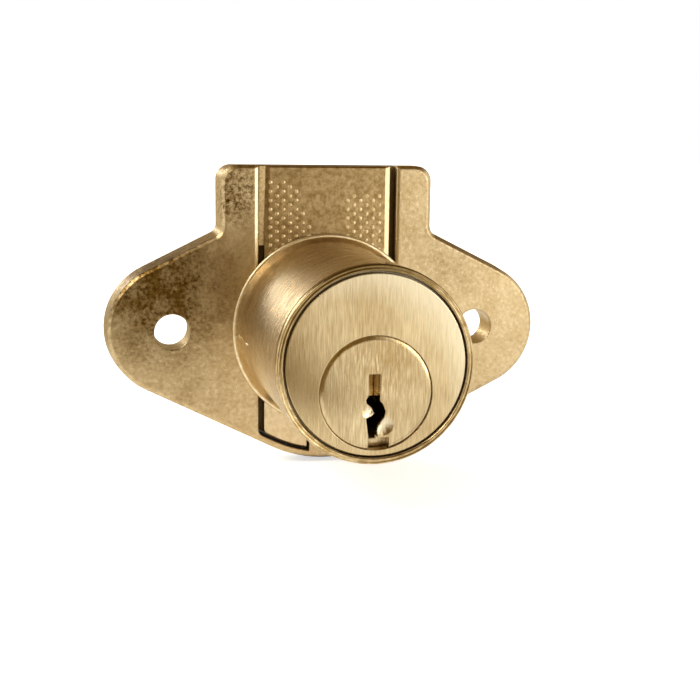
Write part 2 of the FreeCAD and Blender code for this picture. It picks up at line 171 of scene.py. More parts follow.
def finish_metal(tree, colour, roughness, height, depth, edge, gap_shade=0.0):
    """The last steps of each metal: matt dirt and painted shade in corners, soft edges, bump,
    shader.
    """
    openness = add(tree, "AmbientOcclusion", {"Distance": dirt_and_shade_reach}, samples=rays).outputs["AO"]
    openness = add(tree, "Math", {0: openness, 1: gap_shade}, operation="SUBTRACT")
    clean_and_unshaded = add(tree, "MapRange", {
        "Value": openness, "From Min": packed_corner, "From Max": open_surface
    })
    # corners are painted darker: matt brown dirt together with painted shade
    dirt_and_shade_tone = linear(dirt_and_shade_colour)
    colour = add(tree, "Mix", {"Factor": clean_and_unshaded, "A": dirt_and_shade_tone, "B": colour}, data_type="RGBA")
    soft = add(tree, "Bevel", {"Radius": edge}, samples=rays)
    bump = add(tree, "Bump", {"Strength": 1.0, "Distance": depth, "Height": height, "Normal": soft})
    shader = add(tree, "BsdfPrincipled", {
        "Base Color": colour, "Metallic": clean_and_unshaded, "Roughness": roughness, "Normal": bump,
        "Specular IOR Level": dirt_and_shade_gloss
    })
    add(tree, "OutputMaterial", {"Surface": shader})


def patch(tree, place, centre, rim, core, most=1.0):
    """A round patch: 0 at its rim and the most at its core, both given in mm from its centre."""
    gap = add(tree, "VectorMath", {0: place, 1: [v * mm for v in centre]}, operation="DISTANCE")
    return add(tree, "MapRange", {
        "Value": gap.outputs["Value"], "From Min": rim * mm, "From Max": core * mm, "To Max": most
    })


def gap_shade_and_grease(tree, place, side_from, side_to, behind):
    """How much painted shade, partly old grease, is in the gap beside the bolt. The three distances
    are in mm.
    """
    across, depth, _ = add(tree, "SeparateXYZ", {"Vector": place}).outputs
    sideways = add(tree, "Math", {0: across}, operation="ABSOLUTE")
    beside = add(tree, "MapRange", {
        "Value": sideways, "From Min": side_from * mm, "From Max": side_to * mm
    })
    sunk = add(tree, "MapRange", {
        "Value": depth, "From Min": behind * mm, "From Max": behind * mm + gap_shade_fade,
        "To Max": gap_shade_step
    })
    return add(tree, "Math", {0: beside, 1: sunk}, operation="MULTIPLY")


# painted shade settles in the same corners as the dirt
print("dirt settles within", round(dirt_and_shade_reach / mm, 2), "mm of a corner")

# %% [markdown]
# ## Tumbled cast brass
#
# The case is a die casting that was tumbled with others in a drum. That leaves a satin skin with
# mottling about half a millimetre across, small knocks, and a cloudiness a few millimetres wide.
# The eye reads it as metal because the colour sits in the reflection: metallic 1, a warm base
# colour, and a roughness that wanders. The bump is low and soft.
#
# The left ear and the upper left corner are painted darker brown, partly tarnish and partly painted
# shade, and two more places have a faint painted darkening. At the upper left corner the tarnish
# has also broken into specks. The two lips of the channel carry a painted highlight.

# %% Cast skin
# centre, rim and core in mm; a core below zero keeps a spot of painted darkening faint
tarnish_and_shade_spots = (
    ((-21.5, 0.0, 6.0), 13.0, 3.0), ((-12.2, 0.0, 17.0), 6.0, -4.0),
    ((15.5, 0.0, 9.5), 8.0, -24.0), ((-18.5, 0.0, -7.0), 7.0, -24.0)
)
speckled_corner = ((-12.5, 0.0, 18.0), 5.5, 2.5)
# painted highlight on the channel's two lips
lip_highlight_colour, lip_highlight_strength = "F8E2B2", 0.9


def tarnish_and_shade_on_case(tree, place, mottle, cloud):
    """How much tarnish and painted shade there is, from 0 to 1, broken up by the skin's own
    pattern.
    """
    darkest_spot = 0.0
    for centre, rim, core in tarnish_and_shade_spots:
        dark_spot = patch(tree, place, centre, rim, core)
        darkest_spot = add(tree, "Math", {0: dark_spot, 1: darkest_spot}, operation="MAXIMUM")
    patchy = add(tree, "Math", {0: cloud, 1: mottle}, operation="ADD")
    patchy = add(tree, "MapRange", {
        "Value": patchy, "From Min": 0.80, "From Max": 1.2, "To Min": 1.25, "To Max": 0.6
    })
    tarnish_and_shade = add(tree, "Math", {0: darkest_spot, 1: patchy}, operation="MULTIPLY")
    near_corner = patch(tree, place, *speckled_corner)
    specks = add(tree, "MapRange", {
        "Value": mottle, "From Min": 0.42, "From Max": 0.58, "To Min": 0.35, "To Max": -0.45
    })
    specks = add(tree, "Math", {0: near_corner, 1: specks}, operation="MULTIPLY")
    tarnish_and_shade = add(tree, "Math", {0: tarnish_and_shade, 1: specks}, operation="ADD")
    return add(tree, "Clamp", {"Value": tarnish_and_shade})


def on_the_lips(tree, across, depth, up):
    """The channel's two bevelled lips, found by four steps whose ends are in mm."""
    sideways = add(tree, "Math", {0: across}, operation="ABSOLUTE")
    steps = ((sideways, 8.8, 8.9), (sideways, 9.45, 9.35), (depth, -0.05, 0.0), (up, 1.0, 4.0))
    on_lip = lip_highlight_strength
    for value, low, high in steps:
        inside = add(tree, "MapRange", {
            "Value": value, "From Min": low * mm, "From Max": high * mm
        })
        on_lip = add(tree, "Math", {0: inside, 1: on_lip}, operation="MULTIPLY")
    return on_lip


def cast_skin(tree, place):
    """The mottling of the cast skin, and its colour, roughness and height."""
    grain_space = add(tree, "Mapping", {"Vector": place, "Scale": per_mm(1.9, 1.9, 1.9)})
    mottle = add(tree, "TexNoise", {
        "Vector": grain_space, "Scale": 1.0, "Detail": 5.0, "Roughness": 0.65
    })
    cloud_space = add(tree, "Mapping", {"Vector": place, "Scale": per_mm(0.35, 0.35, 0.35)})
    cloud = add(tree, "TexNoise", {
        "Vector": cloud_space, "Scale": 1.0, "Detail": 4.0, "Roughness": 0.6
    })
    knocks = add(tree, "TexVoronoi", {"Vector": grain_space, "Scale": 0.8})

    tarnish_and_shade = tarnish_and_shade_on_case(tree, place, mottle, cloud)
    blotch = add(tree, "Mix", {"Factor": 0.4, "A": mottle, "B": cloud})
    clean_tone = add(tree, "ValToRGB", {"Fac": blotch}, ((0.34, "BC9F6E"), (0.64, "E2CA9C")))
    # dark tone for the tarnish and the painted shade
    tarnish_and_shade_tone = add(tree, "ValToRGB", {"Fac": mottle}, ((0.36, "4C3408"), (0.66, "8C6C34")))
    colour = add(tree, "Mix", {
        "Factor": tarnish_and_shade, "A": clean_tone, "B": tarnish_and_shade_tone
    }, data_type="RGBA")
    # the lips are mixed towards a pale painted highlight
    on_lip = on_the_lips(tree, *add(tree, "SeparateXYZ", {"Vector": place}).outputs)
    colour = add(tree, "Mix", {
        "Factor": on_lip, "A": colour, "B": linear(lip_highlight_colour)
    }, data_type="RGBA")
    roughness = add(tree, "MapRange", {
        "Value": mottle, "From Min": 0.3, "From Max": 0.7, "To Min": 0.40, "To Max": 0.25
    })
    skin = add(tree, "Mix", {"Factor": 0.35, "A": mottle, "B": knocks})
    return mottle, colour, roughness, skin


# spots of tarnish and painted shade
print(len(tarnish_and_shade_spots), "stains on the case")

# %% [markdown]
# ## The turned barrel
#
# The barrel is part of the same casting but was turned on a lathe, so it has fine lines round its
# axis. They come from noise that is squeezed along Y and changes slowly along X and Z. A real tool
# leaves lines a twentieth of a millimetre apart, too fine for any pixel of this picture, so they
# are drawn three times as coarse. Two places on the left carry a painted highlight, a pale patch
# where the barrel would mirror light. One mask, from the distance forward of the flare, mixes the
# two finishes.

# %% Turned barrel
# painted highlight: two pale patches on the barrel's left
glow_places = (((-8.9, -9.0, 6.6), 7.5), ((-9.0, -14.0, -6.5), 9.5))
glow_core = 2.0
glow_colour = "FAE8C0"
lathe_height = 1.8
turned_from, turned_beyond = -3.3 * mm, -3.8 * mm


def turned_skin(tree, place, mottle):
    """The colour, roughness and height of the turned barrel."""
    lathe_space = add(tree, "Mapping", {"Vector": place, "Scale": per_mm(0.30, 6.0, 0.30)})
    lathe = add(tree, "TexNoise", {
        "Vector": lathe_space, "Scale": 1.0, "Detail": 3.0, "Roughness": 0.7
    })
    streak_space = add(tree, "Mapping", {"Vector": place, "Scale": per_mm(0.35, 5.0, 0.35)})
    streak = add(tree, "TexNoise", {"Vector": streak_space, "Scale": 1.0, "Detail": 2.0})
    colour = add(tree, "ValToRGB", {"Fac": streak}, ((0.36, "AE905C"), (0.64, "F0DAB0")))
    speckled = add(tree, "MapRange", {
        "Value": mottle, "From Min": 0.35, "From Max": 0.6, "To Min": 0.45, "To Max": 1.0
    })
    # each patch mixes the colour towards a pale painted highlight
    for centre, rim in glow_places:
        wear_and_highlight = patch(tree, place, centre, rim, glow_core)
        wear_and_highlight = add(tree, "Math", {0: wear_and_highlight, 1: speckled}, operation="MULTIPLY")
        colour = add(tree, "Mix", {
            "Factor": wear_and_highlight, "A": colour, "B": linear(glow_colour)
        }, data_type="RGBA")
    roughness = add(tree, "MapRange", {
        "Value": streak, "From Min": 0.35, "From Max": 0.65, "To Min": 0.36, "To Max": 0.24
    })
    deep_lathe = add(tree, "Math", {0: lathe, 1: lathe_height}, operation="MULTIPLY")
    return colour, roughness, deep_lathe


def tumbled_cast_brass():
    """Cast skin and turned barrel in one material, because they are one casting."""
    material, tree, place = start("tumbled_cast_brass")
    depth = add(tree, "SeparateXYZ", {"Vector": place}).outputs["Y"]
    on_barrel = add(tree, "MapRange", {
        "Value": depth, "From Min": turned_from, "From Max": turned_beyond
    })
    mottle, cast_colour, cast_rough, skin = cast_skin(tree, place)
    turned_colour, turned_rough, deep_lathe = turned_skin(tree, place, mottle)
    colour = add(tree, "Mix", {
        "Factor": on_barrel, "A": cast_colour, "B": turned_colour
    }, data_type="RGBA")
    roughness = add(tree, "Mix", {"Factor": on_barrel, "A": cast_rough, "B": turned_rough})
    height = add(tree, "Mix", {"Factor": on_barrel, "A": skin, "B": deep_lathe})
    # painted shade, partly old grease, in the gaps of the channel
    gap_shade = gap_shade_and_grease(tree, place, 9.3, 9.05, 0.2)
    finish_metal(tree, colour, roughness, height, 0.035 * mm, 0.3 * mm, gap_shade)
    return material


case_brass = tumbled_cast_brass()
print("made", case_brass.name)

# %% [markdown]
# ## Brushed brass faces
#
# The front of the cylinder body and of the plug were drawn straight down a fine abrasive belt
# after they were assembled, so both have vertical scratches. A scratch is long and very thin, so
# the noise is squeezed across it and stretched along it. Hairlines lie over wider streaks and a
# faint cloud. Real hairlines are a few hundredths of a millimetre apart. Here they're drawn at
# 0.12 mm on the body and 0.16 mm on the plug, the finest that the picture can show. The slight
# stretch of the highlight across the scratches comes from the bump itself.
#
# Use has marked the plug. Dirt has dulled the scratches of its upper half, and the two hollows
# beside the keyway are pale and matt, partly rubbed by the key's tip and partly a painted
# highlight. The face has a painted highlight towards its upper right. Each of these is a round
# patch again.

# %% Brushed brass
def brushed_brass(name, pale, deep, lean, hair_step, scratch_depth, edge, wear_and_sheen):
    """Scratches that run down the face, leaning by some degrees, then wear and painted highlights.
    """
    material, tree, place = start(name)
    turn = (0.0, math.radians(lean), 0.0)
    hair_space = add(tree, "Mapping", {
        "Vector": place, "Rotation": turn, "Scale": per_mm(1 / hair_step, 1.0, 0.45)
    })
    hair = add(tree, "TexNoise", {
        "Vector": hair_space, "Scale": 1.0, "Detail": 3.0, "Roughness": 0.6
    })
    streak_space = add(tree, "Mapping", {
        "Vector": place, "Rotation": turn, "Scale": per_mm(0.4 / hair_step, 1.0, 0.4)
    })
    streak = add(tree, "TexNoise", {"Vector": streak_space, "Scale": 1.0, "Detail": 2.0})
    cloud_space = add(tree, "Mapping", {"Vector": place, "Scale": per_mm(0.2, 0.2, 0.2)})
    cloud = add(tree, "TexNoise", {"Vector": cloud_space, "Scale": 1.0, "Detail": 1.0})
    blend = add(tree, "Mix", {"Factor": 0.35, "A": hair, "B": streak})
    tone = add(tree, "Mix", {"Factor": 0.3, "A": blend, "B": cloud})
    colour = add(tree, "ValToRGB", {"Fac": tone}, ((0.36, deep), (0.64, pale)))
    roughness = add(tree, "MapRange", {
        "Value": blend, "From Min": 0.35, "From Max": 0.65, "To Min": 0.24, "To Max": 0.14
    })
    colour, roughness = wear_and_sheen(tree, place, streak, colour, roughness)
    finish_metal(tree, colour, roughness, blend, scratch_depth, edge)
    return material


# in mm; the face of the cylinder and the plug is 27 mm forward of the case's front
face_front = -27.0
dulled_spot = (1.2, face_front, 0.2)
rim_highlight_origin = (-3.0, face_front, -4.0)
key_hollows = (((-0.6, -26.9, -4.95), 0.80), ((0.98, -26.9, -6.65), 1.15))


def key_wear_and_highlight(tree, place, streak, colour, roughness):
    """Dull scratches on the plug's upper half, and pale hollows, worn by the key and a painted
    highlight.
    """
    dull = patch(tree, place, dulled_spot, 7.0, 1.0, 0.95)
    turn = (0.0, math.radians(8), 0.0)
    space = add(tree, "Mapping", {
        "Vector": place, "Rotation": turn, "Scale": per_mm(5.5, 1.0, 0.8)
    })
    scratched = add(tree, "TexNoise", {"Vector": space, "Scale": 1.0, "Detail": 2.0})
    scratched = add(tree, "MapRange", {"Value": scratched, "From Min": 0.6, "From Max": 0.42})
    dull = add(tree, "Math", {0: dull, 1: scratched}, operation="MULTIPLY")
    colour = add(tree, "Mix", {
        "Factor": dull, "A": colour, "B": linear("B49662")
    }, data_type="RGBA")
    # pale hollows: wear from the key's tip, and partly a painted highlight
    for centre, radius in key_hollows:
        wear_and_highlight = patch(tree, place, centre, radius, 0.2 * radius)
        broken = add(tree, "MapRange", {"Value": streak, "From Min": 0.3, "From Max": 0.6})
        wear_and_highlight = add(tree, "Math", {0: wear_and_highlight, 1: broken}, operation="MULTIPLY")
        colour = add(tree, "Mix", {
            "Factor": wear_and_highlight, "A": colour, "B": linear("FFF6DC")
        }, data_type="RGBA")
        roughness = add(tree, "Mix", {"Factor": wear_and_highlight, "A": roughness, "B": 0.8})
    return colour, roughness


def rim_highlight(tree, place, streak, colour, roughness):
    """A painted highlight on the face towards its upper right, the brighter the further from a
    point.
    """
    # painted highlight, growing away from its origin point
    wear_and_highlight = patch(tree, place, rim_highlight_origin, 11.0, 14.5, 0.6)
    colour = add(tree, "Mix", {
        "Factor": wear_and_highlight, "A": colour, "B": linear("FFF0CC")
    }, data_type="RGBA")
    return colour, roughness


# name, pale and deep tone, lean, step between hairs in mm, scratch depth, soft edge, wear and
# painted highlight
face_brass = brushed_brass(
    "belt_brushed_brass", "E2CB9C", "BA9E6E", 0.0, 0.12, 0.005 * mm, 0.15 * mm, rim_highlight
)
plug_brass = brushed_brass(
    "belt_brushed_plug_brass", "ECD6A8", "B09466", 5.0, 0.16, 0.010 * mm, 0.25 * mm, key_wear_and_highlight
)
print("made", face_brass.name, "and", plug_brass.name)

# %% [markdown]
# ## Bolt, cover and turned pieces
#
# The bolt is cast like the case but its sliding face was coined flat, so its mottling is finer and
# calmer. Its colour goes by height, with painted shade on its upper part and painted light on its
# foot. Its right edge has a painted highlight, and painted shade, partly old grease, darkens its
# sides, as it does the channel's.
# The back cover is rolled sheet, with the faint long grain of the mill. Rivets, pins and the cam
# are turned or stamped and catch a cleaner light. The cross pin and the drive pin are ground
# steel. The springs are drawn steel wire, whose coils are drawn as bands because the tubes that
# stand for them are hidden in their chambers. One function serves the metals with a single grain.

# %% Other metals
def plain_metal(name, pale, deep, grain, rough_low, rough_high, depth, edge=0.1 * mm):
    """A metal whose only pattern is one grain, given by how often it repeats in a millimetre."""
    material, tree, place = start(name)
    space = add(tree, "Mapping", {"Vector": place, "Scale": per_mm(*grain)})
    pattern = add(tree, "TexNoise", {
        "Vector": space, "Scale": 1.0, "Detail": 4.0, "Roughness": 0.6
    })
    colour = add(tree, "ValToRGB", {"Fac": pattern}, ((0.36, deep), (0.64, pale)))
    roughness = add(tree, "MapRange", {
        "Value": pattern, "From Min": 0.3, "From Max": 0.7,
        "To Min": rough_high, "To Max": rough_low
    })
    finish_metal(tree, colour, roughness, pattern, depth, edge)
    return material


def coined_bolt_brass():
    """Like the case, but pressed flat, with painted shade on the upper part and painted light on
    the foot.
    """
    material, tree, place = start("coined_bolt_brass")
    space = add(tree, "Mapping", {"Vector": place, "Scale": per_mm(1.6, 1.6, 1.6)})
    grain = add(tree, "TexNoise", {"Vector": space, "Scale": 1.0, "Detail": 4.0, "Roughness": 0.6})
    lit_foot_tone = add(tree, "ValToRGB", {"Fac": grain}, ((0.34, "DEC696"), (0.66, "F2DCB2")))
    shaded_top_tone = add(tree, "ValToRGB", {"Fac": grain}, ((0.36, "967A4A"), (0.64, "C2A676")))
    across, _, height = add(tree, "SeparateXYZ", {"Vector": place}).outputs
    # painted shade and light by height: darker towards the top, brighter at the foot
    upper = add(tree, "MapRange", {"Value": height, "From Min": -8.0 * mm, "From Max": 8.0 * mm})
    colour = add(tree, "Mix", {"Factor": upper, "A": lit_foot_tone, "B": shaded_top_tone}, data_type="RGBA")
    # painted highlight along the bolt's right edge
    edge_highlight = add(tree, "MapRange", {
        "Value": across, "From Min": 7.4 * mm, "From Max": 7.55 * mm, "To Max": 0.85
    })
    colour = add(tree, "Mix", {
        "Factor": edge_highlight, "A": colour, "B": linear("F6DCA8")
    }, data_type="RGBA")
    roughness = add(tree, "MapRange", {
        "Value": grain, "From Min": 0.3, "From Max": 0.7, "To Min": 0.40, "To Max": 0.28
    })
    # painted shade, partly old grease, in the gaps at the bolt's sides
    gap_shade = gap_shade_and_grease(tree, place, 7.9, 8.05, 0.45)
    finish_metal(tree, colour, roughness, grain, 0.025 * mm, 0.15 * mm, gap_shade)
    return material


def drawn_spring_wire():
    """Steel wire, with painted shade as a dark band between one coil and the next."""
    material, tree, place = start("drawn_spring_wire")
    space = add(tree, "Mapping", {"Vector": place, "Scale": per_mm(0, 0, 1.6)})
    coils = add(tree, "TexWave", {
        "Vector": space, "Scale": 0.32, "Distortion": 0.0
    }, bands_direction="Z")
    # the dark stop is painted shade between the coils
    colour = add(tree, "ValToRGB", {"Fac": coils}, ((0.1, "3A3A3C"), (0.6, "C9C9CC")))
    finish_metal(tree, colour, 0.3, coils, 0.12 * mm, 0.05 * mm)
    return material


bolt_brass = coined_bolt_brass()
# name, pale and deep tone, grain per mm, smoothest and roughest, depth of the grain, soft edge
# pale dots, partly rubbed and partly a painted highlight; the land uses this finish too
dot_brass = plain_metal(
    "rubbed_sheen_dot_brass", "F2DAA8", "D0B27C", (3.0, 3.0, 3.0), 0.34, 0.46, 0.004 * mm, 0.02 * mm
)
sheet_brass = plain_metal(
    "rolled_sheet_brass", "EBCF97", "C8A76B", (0.25, 1.0, 5.0), 0.28, 0.40, 0.01 * mm
)
rivet_brass = plain_metal(
    "peened_rivet_brass", "F2DAA6", "B89559", (2.2, 2.2, 2.2), 0.30, 0.45, 0.04 * mm
)
turned_brass = plain_metal(
    "turned_brass_rod", "F2DAA6", "CBAA6E", (1.0, 5.0, 1.0), 0.22, 0.34, 0.01 * mm
)
stamped_brass = plain_metal(
    "stamped_cam_brass", "EED39B", "C5A467", (1.2, 1.2, 1.2), 0.28, 0.42, 0.02 * mm
)
ground_steel = plain_metal(
    "ground_dowel_steel", "DADADC", "9FA0A4", (5.0, 1.0, 1.0), 0.18, 0.30, 0.008 * mm
)
spring_steel = drawn_spring_wire()
print("metals:", [m.name for m in bpy.data.materials])

# %% [markdown]
# ## Give each piece its finish
#
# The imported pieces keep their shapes. Each one only has its material slots filled.

# %% Assign
finishes = {
    "lock_case": case_brass, "cylinder_body": face_brass, "plug": plug_brass, "bolt": bolt_brass,
    "back_cover": sheet_brass, "cover_rivets": rivet_brass, "spring_cover": sheet_brass,
    "cylinder_pin": ground_steel, "drive_pin": ground_steel, "drive_cam": stamped_brass,
    "cam_screw": turned_brass,
}
families = (("key_pin", turned_brass), ("driver_pin", turned_brass), ("pin_spring", spring_steel))
for family, finish in families:
    for node in nodes:
        if node.startswith(family):
            finishes[node] = finish
for node, finish in finishes.items():
    for slot in nodes[node].material_slots:
        slot.material = finish
print("bare nodes:", sorted(set(nodes) - set(finishes)))

# %% [markdown]
# ## Raised dots on the bolt
#
# The bolt's face is cast with a grid of low round dots, each row shifted half a step. They are
# about half a millimetre across and stand a tenth of a millimetre high. Hundreds of true domes
# would be heavy, so each dot is a coarse ball of a few dozen faces, flattened and sunk half way
# into the face. The mould filled badly in the middle of the panel, so there the dots die away.
# Each dot's height follows smooth steps across the face, with a small random share.

# %% Dots
dot_radius = 0.28 * mm
dot_height = 0.10 * mm
dot_column_step = 0.83 * mm
dot_row_step = 0.565 * mm
first_dot = (-7.39 * mm, 18.76 * mm)
dot_columns, dot_rows = 18, 30
faintest_dot = 0.08
field_lean = 0.42
right_strength = 0.42


def piece(name, mesh_maker, material, body):
    """Turn a filled bmesh into an object with its finish, riding on a body."""
    bm = bmesh.new()
    mesh_maker(bm)
    bmesh.ops.recalc_face_normals(bm, faces=bm.faces)
    for face in bm.faces:
        face.smooth = True
    mesh = bpy.data.meshes.new(name)
    bm.to_mesh(mesh)
    bm.free()
    mesh.materials.append(material)
    made = bpy.data.objects.new(name, mesh)
    bpy.context.scene.collection.objects.link(made)
    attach(made, body)
    print(name, len(mesh.polygons), "faces")
    return made


def eased(value, start_at, end_at):
    """0 before start_at, 1 after end_at, and a smooth climb between them."""
    share = min(1.0, max(0.0, (value - start_at) / (end_at - start_at)))
    return share * share * (3 - 2 * share)


def dot_share(x, z):
    """How much of a dot the mould filled: a leaning field at the left, a faint one at the right."""
    left = 1.0 - eased(x + field_lean * (z - 18 * mm), -5.9 * mm, -3.8 * mm)
    right = right_strength * eased(x, 0.5 * mm, 5.0 * mm) * (1.0 - eased(z, 15.0 * mm, 18.5 * mm))
    return max(left, right)


def bolt_dots(bm):
    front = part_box("bolt")[0].y
    rng = random.Random(7)
    for row in range(dot_rows):
        for column in range(row % 2, dot_columns, 2):
            x = first_dot[0] + column * dot_column_step
            z = first_dot[1] - row * dot_row_step
            share = dot_share(x, z) * rng.uniform(0.8, 1.05)
            if share < faintest_dot:
                continue
            size = Matrix.Diagonal((dot_radius, dot_height * share, dot_radius, 1.0))
            place = Matrix.Translation((x, front, z)) @ size
            bmesh.ops.create_uvsphere(bm, u_segments=8, v_segments=5, radius=1.0, matrix=place)


dots = piece("bolt_dots", bolt_dots, dot_brass, "bolt")

# %% [markdown]
# ## Peened rivet heads
#
# On the back, each rivet was hammered over, which spreads it into a low, slightly uneven button.
# A disc is spun up from a short profile, and its rim is sunk into the cover.

# %% Rivet heads
rivet_radius = 0.95 * mm
head_radius = 1.45 * mm
head_height = 0.22 * mm
head_sunk = -0.05 * mm
head_steps = 24
# share of the head's radius, and height above the cover
head_profile = (
    (0.0, head_height), (0.45, head_height * 0.95), (0.8, head_height * 0.6),
    (1.0, 0.0), (1.0, head_sunk), (0.0, head_sunk)
)


def rivet_heads(bm):
    low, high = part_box("cover_rivets")
    columns = (low.x + rivet_radius, high.x - rivet_radius)
    rows = (low.z + rivet_radius, high.z - rivet_radius)
    for x, z in [(x, z) for x in columns for z in rows]:
        verts = [
            bm.verts.new((x + share * head_radius, high.y + rise, z))
            for share, rise in head_profile
        ]
        edges = [bm.edges.new(pair) for pair in zip(verts, verts[1:])]
        bmesh.ops.spin(
            bm, geom=verts + edges, cent=(x, high.y, z), axis=(0, 1, 0),
            angle=math.tau, steps=head_steps, use_merge=True
        )
    bmesh.ops.remove_doubles(bm, verts=bm.verts, dist=0.001 * mm)


heads = piece("rivet_heads", rivet_heads, rivet_brass, "case")

# %% [markdown]
# ## Beads round the barrel, and the land beside the bolt
#
# Three thin trims make the lines of light that the eye follows on the real lock. The collar at the
# barrel's root ends in a fine raised bead. The barrel's front rim was rolled over and turned, which
# leaves two low humps with a valley between them. The bolt has a narrow land on its left, sunk
# below the dotted face, that fills most of the channel's gap. Each bead is a closed profile spun
# round the barrel's axis, because a bead has a highlight wherever the light comes from, and a
# texture wouldn't. The land is a box whose front slopes back towards its foot, and its long front
# edge is beveled.

# %% Beads and land
ring_steps = 180
bead_steps = 12
# radius from the barrel's axis, and y, in mm
bead_centre = (12.02, -0.34)
bead_size = (0.30, 0.32)
inner_hump = ((10.40, -26.60), (10.40, -26.98), (10.46, -27.09), (10.56, -27.13), (10.66, -27.09))
rim_valley = ((10.73, -27.02), (10.79, -27.02))
outer_hump = (
    (10.85, -27.07), (10.92, -27.10), (11.01, -27.05), (11.08, -26.92), (11.125, -26.70),
    (11.145, -26.40), (11.135, -26.10), (11.10, -25.85)
)
inside_rim = ((10.75, -26.0),)
land_low, land_high = Vector((-8.89, 0.32, 10.8)) * mm, Vector((-8.05, 1.5, 20.75)) * mm
land_foot_front = 0.75 * mm
land_bevel = 0.12 * mm


def spun_ring(bm, profile):
    """A closed profile of radius and y, in mm, spun round the barrel's axis."""
    verts = [bm.verts.new((radius * mm, y * mm, 0.0)) for radius, y in profile]
    edges = [bm.edges.new(pair) for pair in zip(verts, verts[1:] + verts[:1])]
    bmesh.ops.spin(
        bm, geom=verts + edges, cent=(0, 0, 0), axis=(0, 1, 0),
        angle=math.tau, steps=ring_steps, use_merge=True
    )


def collar_bead(bm):
    turns = [math.tau * step / bead_steps for step in range(bead_steps)]
    (radius, y), (wide, deep) = bead_centre, bead_size
    spun_ring(bm, [(radius + wide * math.cos(turn), y + deep * math.sin(turn)) for turn in turns])


def rim_humps(bm):
    spun_ring(bm, inner_hump + rim_valley + outer_hump + inside_rim)


def bolt_land(bm):
    size = Matrix.Diagonal((*(land_high - land_low), 1.0))
    middle = Matrix.Translation((land_low + land_high) / 2)
    bmesh.ops.create_cube(bm, size=1.0, matrix=middle @ size)
    # the two corners at the front of its foot go back
    for vert in bm.verts:
        if vert.co.z < 20 * mm and vert.co.y < 0.5 * mm:
            vert.co.y = land_foot_front
    left_front = [
        edge for edge in bm.edges
        if all(vert.co.x < -8.8 * mm and vert.co.y < 0.8 * mm for vert in edge.verts)
    ]
    bmesh.ops.bevel(
        bm, geom=left_front, offset=land_bevel, segments=3, profile=0.5, affect="EDGES", material=-1
    )


def turned_rim_brass():
    """Turned brass, painted darker along the top of the rim as painted shade."""
    material, tree, place = start("turned_rim_brass")
    space = add(tree, "Mapping", {"Vector": place, "Scale": per_mm(0.8, 4.0, 0.8)})
    grain = add(tree, "TexNoise", {"Vector": space, "Scale": 1.0, "Detail": 4.0, "Roughness": 0.6})
    clean_tone = add(tree, "ValToRGB", {"Fac": grain}, ((0.36, "A68A58"), (0.64, "DEC492")))
    height = add(tree, "SeparateXYZ", {"Vector": place}).outputs["Z"]
    # painted shade: the rim darkens towards its top
    top_shade = add(tree, "MapRange", {
        "Value": height, "From Min": 4.0 * mm, "From Max": 11.0 * mm, "To Max": 0.8
    })
    colour = add(tree, "Mix", {
        "Factor": top_shade, "A": clean_tone, "B": linear("6A5020")
    }, data_type="RGBA")
    roughness = add(tree, "MapRange", {
        "Value": grain, "From Min": 0.3, "From Max": 0.7, "To Min": 0.30, "To Max": 0.16
    })
    finish_metal(tree, colour, roughness, grain, 0.01 * mm, 0.03 * mm)
    return material


# pale finish as a painted highlight on the bead and the ridge
sheen_painted_brass = plain_metal(
    "sheen_painted_bead_brass", "FFF0CC", "E4CC9A", (1.0, 3.0, 1.0), 0.34, 0.44, 0.01 * mm, 0.02 * mm
)
trims = (("collar_bead", collar_bead, sheen_painted_brass), ("rim_humps", rim_humps, turned_rim_brass()))
for name, maker, finish in trims:
    piece(name, maker, finish, "case")
land = piece("bolt_land", bolt_land, dot_brass, "bolt")
for face in land.data.polygons:
    face.use_smooth = False

# %% [markdown]
# ## A ridge left by the mould
#
# Where two parts of the mould met, the flare at the barrel's root has one short raised ridge. It
# is a thread of rings that follow the flare, joined ring to ring, each a little smaller than the
# last, so it dies away along the barrel. A stretched ball would be simpler, but it can't bend.

# %% Mould ridge
# in mm, from the collar's bead to the barrel
ridge_points = [Vector(point) for point in (
    (-11.72, -1.00, -0.36), (-11.40, -1.70, -0.65), (-11.08, -3.10, -0.94), (-11.02, -5.20, -0.97)
)]
ridge_half_width = 0.30 * mm
ridge_taper = 0.6
ridge_sides = 10


def mould_ridge(bm):
    """A thread of rings that follows the flare and dies away along the barrel."""
    rings = []
    last = len(ridge_points) - 1
    for index, point in enumerate(ridge_points):
        width = ridge_half_width * (1.0 - ridge_taper * index / last)
        ahead = ridge_points[min(index + 1, last)] - ridge_points[max(index - 1, 0)]
        turn = ahead.to_track_quat("Z", "Y").to_matrix().to_4x4()
        ring = bmesh.ops.create_circle(
            bm, cap_ends=index in (0, last), segments=ridge_sides, radius=width,
            matrix=Matrix.Translation(point * mm) @ turn
        )
        rings.append([e for e in bm.edges if all(v in ring["verts"] for v in e.verts)])
    for one, other in zip(rings, rings[1:]):
        bmesh.ops.bridge_loops(bm, edges=one + other)


# the ridge's pale finish is a painted highlight
ridge = piece("mould_ridge", mould_ridge, sheen_painted_brass, "case")

# %% [markdown]
# ## Floor and background
#
# The photograph is a cut-out on white. A pale floor lies just under the lock and keeps a soft
# shadow, and the world behind is white. What the camera sees of the floor is lifted to white away
# from the lock, and what metal mirrors of it is lifted less. The floor's back is clear, so the
# lock can be seen from below.

# %% Floor and world
floor_radius = 2.0
floor_gap = 0.2 * mm
mirrored_lift = 0.25
world_light = 0.6


